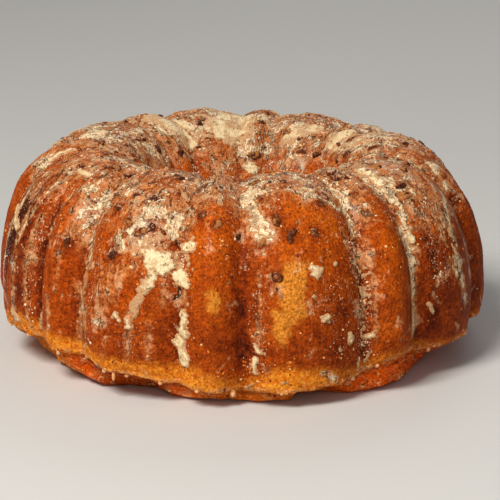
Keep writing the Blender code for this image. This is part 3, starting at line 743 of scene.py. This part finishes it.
# Each run is its points, its width in millimetres and how thick it is, from 0 to 1
RUNS = (
    (((-20.5, 29.5), (-18.5, 27)), 11.0, 1.0), (((-17, 33),), 4.0, 0.8), (((-23.5, 32),), 3.4, 0.7),
    (((-15, 21), (-13, 19)), 7.0, 1.0), (((-14, 39), (-12, 39)), 6.0, 1.0), (((-13, 32),), 4.0, 0.8),
    (((-20, 25), (-21.8, 13)), 5.8, 0.8), (((-22.2, 11), (-24.5, 1)), 5.6, 0.3), (((-28.5, -3),), 3.6, 1.0),
    (((-27.6, -6),), 2.8, 1.0), (((-29.3, -5),), 2.2, 0.9), (((-25.6, -5),), 3.0, 0.9),
    (((-25, -8),), 3.4, 0.9), (((-26, -9),), 2.0, 0.9), (((-24, -3),), 2.0, 0.8),
    (((-13, -2), (-13, -11)), 6.5, 1.0), (((-14, -17), (-13, -25)), 7.5, 1.0), (((-12, 6),), 2.5, 0.6),
    (((-37, 21),), 3.5, 0.7), (((-73, 34), (-71, 29), (-68, 26)), 4.5, 0.9), (((-66, 4),), 1.8, 0.8),
    (((-64, 5),), 2.2, 0.8), (((-66, -21), (-64, -24)), 4.0, 0.8), (((-56, -19), (-57, -28)), 2.0, 0.7),
    (((-88, 62), (-88, 69), (-88, 77)), 3.0, 0.8), (((-167, 104), (-175, 98), (177, 99)), 11, 0.78),
    (((-168, 111), (179, 107)), 10, 0.78), (((-172, 116), (180, 113)), 7.0, 0.75),
    (((-139, 90), (-142, 100), (-146, 106), (-150, 113)), 9.5, 0.72), (((-150, 93), (-153, 104)), 6.0, 0.8),
    (((153, 113), (148, 106), (142, 99)), 8.0, 0.72), (((124, 109), (123, 101), (122, 96)), 8.0, 0.75),
    (((120, 110), (106, 106), (102, 103)), 4.5, 0.7), (((176, 132), (171, 135)), 5.5, 0.9),
    (((5, 47), (7, 43)), 4.0, 1.0), (((49, 84), (48, 75), (48, 69)), 5.0, 1.0),
    (((41, 88), (49, 90), (54, 89)), 2.5, 0.8), (((47, 36), (47, 32)), 4.0, 0.9),
    (((59, 29), (59, 25)), 3.5, 0.8), (((58, 21), (59, 15)), 2.5, 0.7), (((57, 9), (58, 4)), 2.5, 1.0),
    (((49, -8), (50, -13)), 2.5, 0.7), (((17, 23),), 7.0, 0.9), (((18, -2), (19, -2)), 4.5, 0.8),
    (((16, 10),), 3.0, 0.7), (((22, 26),), 2.5, 0.7), (((26, 38),), 2.5, 0.7),
    (((25, -15), (25, -18)), 4.0, 0.8), (((29, -19), (31, -18)), 4.0, 0.8), (((29, 10), (30, 5)), 3.0, 0.7),
    (((28, 17),), 2.0, 0.6), (((22, -20),), 3.0, 0.7), (((4, 17),), 3.5, 0.7),
    (((3, -17), (4, -20)), 2.5, 0.8), (((3, -24), (3, -30)), 3.5, 0.9), (((9, -33), (10, -32)), 2.0, 0.8),
    (((28, -29), (28, -35)), 2.0, 0.8), (((31, -26), (30, -33)), 1.5, 0.7),
    (((1, -40), (3, -36)), 1.5, 0.8),
)
# Where the glaze crumbled into chips: the middle, the spread, how many, and the widest chip in millimetres
CRUMBLED = (
    (-22, 38, 8, 14, 46, 3.3), (-15, 29, 4, 11, 26, 3.6), (-78, 96, 16, 12, 44, 3.2),
    (-108, 104, 20, 8, 26, 3.0), (-46, 56, 5, 12, 14, 2.2), (30, 14, 2, 34, 26, 2.9),
    (58, 22, 3, 18, 18, 3.0), (55, 58, 6, 12, 20, 2.8), (4, 52, 4, 12, 14, 2.6), (26, 72, 8, 8, 16, 2.6),
    (45, 84, 9, 7, 16, 3.0), (78, 60, 6, 14, 14, 2.2), (20, 4, 7, 20, 12, 1.8), (3, -14, 2, 12, 10, 2.0),
    (-66, 26, 6, 26, 18, 2.6), (-40, 0, 2, 24, 10, 2.2), (120, 92, 16, 14, 26, 2.8),
    (160, 88, 16, 14, 24, 2.8), (-160, 86, 18, 14, 26, 2.8), (-125, 84, 14, 14, 20, 2.8),
    (172, 134, 8, 10, 12, 2.6), (-165, 136, 12, 10, 10, 2.4),
)
GLAZE_THINNEST = 0.00015
GLAZE_THICKER = 0.00070
GLAZE_ROOT = 0.0006
# How far the crust is copied round a run, and where beyond its edge the copy is cut off
GLAZE_MARGIN = 0.0026
GLAZE_CUT = 0.0007
chance = random.Random(23)
small_runs = []
for groove in (97, 120, 137, 163, 181, 208, 228, 262):
    low = chance.uniform(60, 85)
    while low > -15:
        from_here = (groove + chance.uniform(-2.5, 2.5), low)
        low -= chance.uniform(3, 13)
        small_runs.append(((from_here, (from_here[0] + chance.uniform(-1.5, 1.5), low)),
                           chance.uniform(1.6, 4.2), chance.uniform(0.3, 0.9)))
        low -= chance.uniform(4, 24)
for _ in range(70):
    turn_at = chance.uniform(-90, 270)
    tube_at = chance.uniform(66, 122)
    drift = chance.uniform(0, 7)
    small_runs.append((((turn_at, tube_at), (turn_at + drift, tube_at + chance.uniform(-5, 5))),
                       chance.uniform(1.0, 3.2), chance.uniform(0.3, 0.9)))
for _ in range(46):
    turn_at = chance.uniform(95, 262)
    tube_at = chance.uniform(-30, 75)
    drop = chance.choice((0, 0, 2, 4, 16)) * chance.uniform(0.6, 1.3)
    small_runs.append((((turn_at, tube_at), (turn_at + chance.uniform(-1.5, 1.5), tube_at - drop)),
                       chance.choice((1.8, 2.2, 2.6, 3.2, 4.2, 6.0)), chance.uniform(0.5, 1.0)))
for middle_turn, middle_tube, spread_turn, spread_tube, count, widest in CRUMBLED:
    for _ in range(count):
        turn_at = middle_turn + chance.gauss(0, 0.5) * spread_turn
        tube_at = middle_tube + chance.gauss(0, 0.5) * spread_tube
        small_runs.append((((turn_at, tube_at),),
                           widest * chance.uniform(0.35, 1.0), chance.uniform(0.3, 1.0)))

runs = [(line_on_crust(points), width * 0.0005, share) for points, width, share in RUNS + tuple(small_runs)]
near_run = np.full(len(places), 0.025)
for line, half_width, _ in runs:
    near_run = np.minimum(near_run, distance_to_line(places, line) - half_width)


def delete_faces(piece, marked):
    """Deletes the marked faces of the piece that is picked up."""
    bpy.ops.object.mode_set(mode="EDIT")
    bpy.ops.mesh.select_mode(type="FACE")
    bpy.ops.mesh.select_all(action="DESELECT")
    bpy.ops.object.mode_set(mode="OBJECT")
    piece.data.polygons.foreach_set("select", marked)
    bpy.ops.object.mode_set(mode="EDIT")
    bpy.ops.mesh.delete(type="FACE")
    bpy.ops.object.mode_set(mode="OBJECT")


pick_up(sponge)
bpy.ops.object.duplicate()
glaze = bpy.context.object
glaze.name = glaze.data.name = "thick_glaze"
glaze.data.materials.clear()
for name in kept_numbers:
    glaze.data.attributes.remove(glaze.data.attributes[name])
near = near_run < GLAZE_MARGIN
delete_faces(glaze, ~near[corners_of(glaze)].any(1))
bpy.ops.object.mode_set(mode="EDIT")
bpy.ops.mesh.select_all(action="SELECT")
bpy.ops.mesh.subdivide(number_cuts=1)
bpy.ops.object.mode_set(mode="OBJECT")

spots = places_of(glaze)
away = outward_ways(glaze)
depth_in = np.full(len(spots), -0.02)
thick_share = np.zeros(len(spots))
half_share = np.zeros(len(spots))
for line, half_width, share in runs:
    inside = half_width - distance_to_line(spots, line)
    thick_share = np.where(inside > depth_in, share, thick_share)
    half_share = np.where(inside > depth_in, half_width, half_share)
    depth_in = np.maximum(depth_in, inside)
ragged = 0.0009 * lumps(spots, 0.0060, 3) + 0.0014 * lumps(spots, 0.0023, 4)
ragged += 0.0008 * lumps(spots, 0.0011, 2)
inside = depth_in + ragged * np.clip(half_share / 0.0024, 0.45, 1.15)
full = GLAZE_THINNEST + GLAZE_THICKER * thick_share
rise = np.clip((inside + 0.0002) / (0.0006 + full * 0.4), 0, 1)
rise = rise * rise * (3 - 2 * rise)
crumbly = 0.00022 * lumps(spots, 0.0016, 6) + 0.00030 * lumps(spots, 0.0038, 8)
lift_by = -GLAZE_ROOT + rise * (GLAZE_ROOT + full) + crumbly * rise
put_places(glaze, spots + away * lift_by[:, None])
keep_values(glaze, "rich", thick_share * np.clip(inside / 0.0012, 0, 1))
outside = inside < -GLAZE_CUT
delete_faces(glaze, outside[corners_of(glaze)].all(1))
solidify = glaze.modifiers.new("thickness", "SOLIDIFY")
solidify.thickness = GLAZE_ROOT
solidify.offset = -1
bpy.ops.object.modifier_apply(modifier=solidify.name)

cream = Paint("cream glaze")
where = cream.place()
patches = cream.cloud(where, 0.0034, 4, 0.65)
sugar_grain = cream.cloud(where, 0.0009, 2, 0.6)
rich = cream.kept("rich")
whole = cream.clamp(rich * 1.5 - 0.4 + (patches - 0.5) * 1.2)
tone = cream.mix(whole, tint(206, 160, 118), tint(241, 221, 172))
tone = cream.mix(cream.smooth(patches, 0.50, 0.60) * 0.6, tone, tint(204, 156, 100))
sheer = cream.cloud(where, 0.0075, 4, 0.62)
tone = cream.mix(cream.smooth(sheer + (rich - 0.8) * -0.45, 0.48, 0.57) * 0.74, tone, tint(186, 132, 82))
pits = cream.smooth(cream.cloud(where, 0.0024, 3, 0.65), 0.38, 0.31)
tone = cream.mix(pits * 0.65, tone, tint(150, 88, 44))
tone = cream.mix(cream.smooth(sugar_grain, 0.55, 0.35) * 0.3, tone, tint(196, 156, 112))
glaze.data.materials.append(cream.finish(tone, 0.42, sugar_grain * 0.8 + patches * 0.4 - pits, 0.0008,
                                         **{"Specular IOR Level": 0.4}))
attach(glaze, "root")

# The pecans. Chopped pecans were strewn in the tin before the batter, so they are baked into the top and
# shoulders, half sunk in the crust. Their skin is dark, cut meat is amber, and glaze is smeared on some.
NUT_SHAPES = 8
NUT_CUTS = 4
BACK_NUTS = 45
CREST_NUTS = 12
NUT_SCALE = 0.00112
chance = random.Random(5)
spread_nuts = [(chance.uniform(92, 268), chance.uniform(38, 125), chance.uniform(4, 8))
               for _ in range(BACK_NUTS)]
spread_nuts += [(chance.uniform(-80, 80), chance.uniform(95, 150), chance.uniform(4, 7))
                for _ in range(CREST_NUTS)]
nut_shapes = []
for shape in range(NUT_SHAPES):
    select_none()
    bpy.ops.mesh.primitive_ico_sphere_add(subdivisions=3, radius=0.5)
    nut = bpy.context.object
    nut.data.materials.clear()
    spots = places_of(nut)
    lengthwise = spots[:, 0].copy()
    spots = spots * (1.0, chance.uniform(0.42, 0.72), 0.36)
    chopped = 0.20 * lumps(spots, 0.42, shape * 7) + 0.10 * lumps(spots, 0.17, shape * 5)
    ribs = 0.03 * np.sin(spots[:, 1] * 46 + lengthwise * 5)
    length_of = np.linalg.norm(spots, axis=1)[:, None]
    spots = spots + spots / length_of * (chopped + ribs)[:, None]
    for _ in range(NUT_CUTS):
        cut_turn = chance.uniform(0, math.pi * 2)
        cut_tilt = chance.uniform(-0.2, 0.9)
        cut_way = np.array((math.cos(cut_turn) * math.cos(cut_tilt), math.sin(cut_turn) * math.cos(cut_tilt),
                            math.sin(cut_tilt)))
        beyond = spots @ cut_way - np.abs(cut_way * (0.5, 0.27, 0.17)).sum() * chance.uniform(0.45, 0.75)
        spots = spots - np.maximum(beyond, 0)[:, None] * cut_way * 0.92
    put_places(nut, spots)
    nut_shapes.append(nut)


def scatter_copies(shapes, name, put, shades=None):
    """Joins one copy for every (shape index, 4x4 matrix) into a piece of that name."""
    spots, loops, sizes, count = [], [], [], 0
    for index, matrix in put:
        data = shapes[index].data
        own = places_of(shapes[index])
        turned = own @ np.array(matrix.to_3x3()).T + np.array(matrix.translation)
        corner_ids = np.empty(len(data.loops), dtype=np.int64)
        data.loops.foreach_get("vertex_index", corner_ids)
        spots.append(turned)
        loops.append(corner_ids + count)
        sizes.append(len(own))
        count += len(own)
    mesh = bpy.data.meshes.new(name)
    piece = bpy.data.objects.new(name, mesh)
    bpy.context.scene.collection.objects.link(piece)
    triangles = np.concatenate(loops).reshape(-1, 3)
    mesh.from_pydata(np.concatenate(spots).tolist(), [], triangles.tolist())
    if shades is None:
        shades = [chance.random() for _ in sizes]
    keep_values(piece, "shade", np.repeat(shades, sizes))
    pick_up(piece)
    bpy.ops.object.shade_smooth()
    return piece


def on_normal(place, direction, spin, lengths):
    """A matrix that stands a shape of length 1 on the crust there, turned round by spin."""
    facing = Vector(direction).to_track_quat("Z", "Y").to_matrix().to_4x4()
    return (Matrix.Translation(Vector(place)) @ facing @ Matrix.Rotation(spin, 4, "Z")
            @ Matrix.Diagonal((*lengths, 1)))


put = []
nut_shades = []
for a, t, length in NUTS + tuple(spread_nuts):
    nut_shades.append(0.12 if length > 12 else chance.random())
    place, direction = on_crust(a, t)
    size = length * NUT_SCALE
    spin = chance.uniform(0, math.pi * 2)
    lean = Vector((chance.uniform(-0.3, 0.3), chance.uniform(-0.3, 0.3), chance.uniform(-0.2, 0.3)))
    sunk_place = place - direction * size * 0.05
    put.append((chance.randrange(NUT_SHAPES),
                on_normal(sunk_place, Vector(direction) + lean, spin, (size, size, size * 0.8))))
nuts = scatter_copies(nut_shapes, "pecans", put, nut_shades)
for nut in nut_shapes:
    bpy.data.objects.remove(nut)
skin = Paint("pecan skin")
where = skin.place()
blotch = skin.cloud(where, 0.003, 3, 0.6)
fine = skin.cloud(where, 0.0008, 2, 0.6)
dark = skin.mix(skin.smooth(blotch + (fine - 0.5) * 0.6, 0.3, 0.7), tint(52, 18, 6), tint(134, 66, 26))
facing = skin.add("ShaderNodeNewGeometry", {}, {}, output="Normal")
upward = skin.add("ShaderNodeSeparateXYZ", {}, {"Vector": facing}, output="Z")
meat = skin.smooth(skin.kept("shade") * 0.6 + (blotch - 0.5) * 1.6 + 0.2, 0.60, 0.72)
dark = skin.mix(meat * 0.75, dark, skin.mix(fine, tint(140, 76, 30), tint(206, 144, 80)))
smeared = upward * 0.35 + (1 - skin.kept("shade")) * 0.6 + (blotch - 0.5) * 1.8 + (fine - 0.5) * 0.9
smear = skin.smooth(smeared, 0.70, 0.96)
dark = skin.mix(smear * (1.12 - skin.kept("shade")) * 0.8, dark, tint(206, 160, 122))
nuts.data.materials.append(skin.finish(dark, 0.46, fine * 0.7 + blotch * 0.5, 0.0007,
                                       **{"Specular IOR Level": 0.12}))
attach(nuts, "root")

# The sugar. Grains of sugar and flakes of dried glaze, each a lump of a few faces, cling in clumps in the
# grooves, on the crest and down the flutes. Their sizes are in millimetres.
FLAKE_SHAPES = 8
FLAKE_SIZES = (0.35, 0.4, 0.5, 0.5, 0.6, 0.7, 0.8, 1.0, 1.5)
FLAKE_COUNT = 8600
chance = random.Random(31)
flake_shapes = []
for _ in range(FLAKE_SHAPES):
    select_none()
    bpy.ops.mesh.primitive_ico_sphere_add(subdivisions=1, radius=0.5)
    flake = bpy.context.object
    spots = places_of(flake)
    spots = spots * [[chance.uniform(0.7, 1.25)] for _ in spots] * (1.0, 0.8, 0.45)
    put_places(flake, spots)
    flake_shapes.append(flake)
sides = places[faces]
centres = sides.mean(1)
face_sugar = sugar[faces].mean(1)
face_area = np.linalg.norm(np.cross(sides[:, 2] - sides[:, 0], sides[:, 3] - sides[:, 1]), axis=1) / 2
face_normal = normals[faces].mean(1)
picker = np.random.default_rng(31)


def strew(shapes, name, count, weight, sizes, flat=1.0):
    """Strews that many copies over the crust, thickest where weight is high."""
    weight = weight * face_area
    picked = picker.choice(len(weight), size=count, p=weight / weight.sum())
    put = []
    for face in picked:
        corner = sides[face]
        across = (corner[1] - corner[0]) * chance.random()
        place = corner[0] + across + (corner[3] - corner[0]) * chance.random()
        size = chance.choice(sizes) * chance.uniform(0.7, 1.3) * 0.001
        lean = Vector((chance.uniform(-0.4, 0.4), chance.uniform(-0.4, 0.4), chance.uniform(-0.4, 0.4)))
        tip = Vector(face_normal[face]) + lean
        put.append((chance.randrange(len(shapes)),
                    on_normal(place, tip, chance.uniform(0, 6.28), (size, size, size * flat))))
    return scatter_copies(shapes, name, put)


clumps = np.clip(lumps(centres, 0.006, 12) * 1.6 + 0.5, 0.05, 1.5)
flakes = strew(flake_shapes, "sugar_flakes", FLAKE_COUNT, face_sugar ** 1.8 * clumps ** 3, FLAKE_SIZES)
white = Paint("dried sugar")
grit = white.cloud(white.place(), 0.001, 2, 0.6)
pale = white.mix(white.smooth(white.kept("shade"), 0.35, 1.0), tint(200, 134, 88), tint(240, 216, 180))
flakes.data.materials.append(white.finish(pale, 0.45, grit, 0.0003, **{"Specular IOR Level": 0.4}))
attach(flakes, "root")

# The crumbs. Bits of crust and sponge, broken loose as the cake left its tin, stand up all over the skin,
# most of them at the ragged lower edge and on the torn dome under it. Their sizes are in millimetres.
CRUMB_SIZES = (0.5, 0.6, 0.8, 1.0, 1.3, 1.7)
CRUMB_COUNT = 6000
CRUMBS_BY_HEIGHT = ((0.002, 0.9), (0.006, 1.6), (0.016, 0.9), (0.03, 0.14), (0.06, 0.14), (0.1, 0.5))
crumb_weight = along(CRUMBS_BY_HEIGHT, centres[:, 2])
crumb_weight = crumb_weight * (np.hypot(centres[:, 0], centres[:, 1]) > 0.05) * (centres[:, 2] > 0.002)
crumbs = strew(flake_shapes, "crust_crumbs", CRUMB_COUNT, crumb_weight * clumps, CRUMB_SIZES, 0.8)
crumb_paint = Paint("crust crumb")
grit = crumb_paint.cloud(crumb_paint.place(), 0.001, 2, 0.6)
crumb_tones = (
    (0.0, tint(96, 34, 8)), (0.45, tint(176, 78, 16)), (0.8, tint(220, 126, 36)), (1.0, tint(236, 190, 130)),
)
pale = crumb_paint.add("ShaderNodeValToRGB", {"stops": crumb_tones}, {"Fac": crumb_paint.kept("shade")},
                       output="Color")
crumbs.data.materials.append(crumb_paint.finish(pale, 0.6, grit, 0.0003, **{"Specular IOR Level": 0.15}))
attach(crumbs, "root")
for flake in flake_shapes:
    bpy.data.objects.remove(flake)

# The drips. Wet glaze ran down the flutes and off the crust's lower edge, and set there as small glossy
# beads and icicles that hang from the edge. Each is its azimuth, then its length and width in millimetres.
BEAD_SCALE = 0.0007
DRIPS = (
    (-47, 4.0, 3.2), (-40, 3.0, 3.0), (-33, 3.2, 3.4), (-30, 6.5, 2.6), (-27, 3.4, 3.0), (-19, 3.6, 3.4),
    (-10, 3.2, 3.6), (-2, 5.5, 4.2), (9, 3.0, 3.4), (27, 3.4, 3.0), (33, 3.4, 3.4), (51, 4.0, 3.2),
    (67, 3.6, 3.0), (-62, 3.6, 3.4), (-72, 3.2, 3.0), (104, 4.4, 3.2), (122, 3.4, 3.0), (139, 3.8, 3.2),
    (158, 3.4, 3.0), (176, 5.0, 3.2), (196, 3.4, 3.0), (214, 3.6, 3.2), (232, 3.4, 3.0), (251, 4.6, 3.2),
)
select_none()
bpy.ops.mesh.primitive_uv_sphere_add(segments=14, ring_count=10, radius=0.5)
bead = bpy.context.object
bpy.ops.object.mode_set(mode="EDIT")
bpy.ops.mesh.select_all(action="SELECT")
bpy.ops.mesh.quads_convert_to_tris()
bpy.ops.object.mode_set(mode="OBJECT")
spots = places_of(bead)
narrow = np.interp(spots[:, 2], (-0.5, -0.3, 0.1, 0.5), (1.0, 1.05, 0.75, 0.6))
put_places(bead, spots * np.stack([narrow, narrow, np.ones(len(spots))], 1))
put = []
for a, length, bead_width in DRIPS:
    rim_here = float(along(LOWER_EDGE, (a + 180) % 360 - 180, 1))
    turn_at = math.radians(a)
    outward_way = Vector((math.sin(turn_at), -math.cos(turn_at), 0))
    place, _, _, _ = crust_tree.ray_cast(outward_way * 0.2 + Vector((0, 0, rim_here + 0.0003)), -outward_way)
    hang = place - outward_way * 0.0012 - Vector((0, 0, length * 0.00022))
    wide = bead_width * BEAD_SCALE
    put.append((0, Matrix.Translation(hang) @ Matrix.Rotation(chance.uniform(0, 6), 4, "Z")
                @ Matrix.Diagonal((wide, wide, length * 0.001, 1))))
drips = scatter_copies([bead], "glaze_drips", put)
bpy.data.objects.remove(bead)
wet = Paint("wet glaze")
haze = wet.cloud(wet.place(), 0.002, 2, 0.6)
drip_tone = wet.mix(haze, tint(212, 128, 66), tint(244, 196, 138))
drips.data.materials.append(wet.finish(drip_tone, 0.3, haze, 0.0004))
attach(drips, "root")

# The studio. A plain pale floor, one soft key light from the upper left, a weak fill near the camera and
# another behind, and a dim sky. The camera looks down a little from 1.2 m away, as in the photo.
CAMERA_TILT = 17.75
CAMERA_DISTANCE = 1.2
CAMERA_AIM = (0.0043, 0, 0.0430)
FOCAL_PIXELS = 2394
PICTURE_PIXELS = 500
SENSOR_WIDTH = 36
SKY_STRENGTH = 0.16
select_none()
bpy.ops.mesh.primitive_plane_add(size=6)
floor = bpy.context.object
floor.name = floor.data.name = "floor"
pale = Paint("pale floor")
floor.data.materials.append(pale.finish(tint(206, 204, 200), 0.7, None, 0))


def add_light(name, azimuth_degrees, elevation, distance, size, power, colour):
    """A square soft light that looks at the middle of the cake."""
    turn = math.radians(azimuth_degrees)
    tilt = math.radians(elevation)
    middle = Vector((0, 0, 0.05))
    way = Vector((math.sin(turn) * math.cos(tilt), -math.cos(turn) * math.cos(tilt), math.sin(tilt)))
    bpy.ops.object.light_add(type="AREA", location=middle + way * distance)
    light = bpy.context.object
    light.name = light.data.name = name
    light.data.shape = "SQUARE"
    light.data.size = size
    light.data.energy = power
    light.data.color = colour
    light.rotation_euler = way.to_track_quat("Z", "Y").to_euler()


add_light("key_light", -32, 48, 1.6, 0.55, 28.0, (1.0, 0.97, 0.92))
add_light("fill_light", 0, 22, 1.8, 1.0, 4, (1.0, 0.98, 0.96))
add_light("back_light", 165, 38, 1.8, 1.0, 5, (1.0, 0.98, 0.96))
world = bpy.data.worlds.new("soft studio")
bpy.context.scene.world = world
world.use_nodes = True
world.node_tree.nodes["Background"].inputs["Color"].default_value = (0.95, 0.97, 1.0, 1)
world.node_tree.nodes["Background"].inputs["Strength"].default_value = SKY_STRENGTH
bpy.context.scene.view_settings.view_transform = "Standard"

tilt = math.radians(CAMERA_TILT)
bpy.ops.object.camera_add(location=(0, -CAMERA_DISTANCE * math.cos(tilt), CAMERA_DISTANCE * math.sin(tilt)))
camera = bpy.context.object
camera.name = "camera"
camera.rotation_euler = (camera.location - Vector(CAMERA_AIM)).to_track_quat("Z", "Y").to_euler()
camera.data.sensor_width = SENSOR_WIDTH
camera.data.lens = FOCAL_PIXELS * SENSOR_WIDTH / PICTURE_PIXELS
camera.data.clip_end = 20
bpy.context.scene.camera = camera
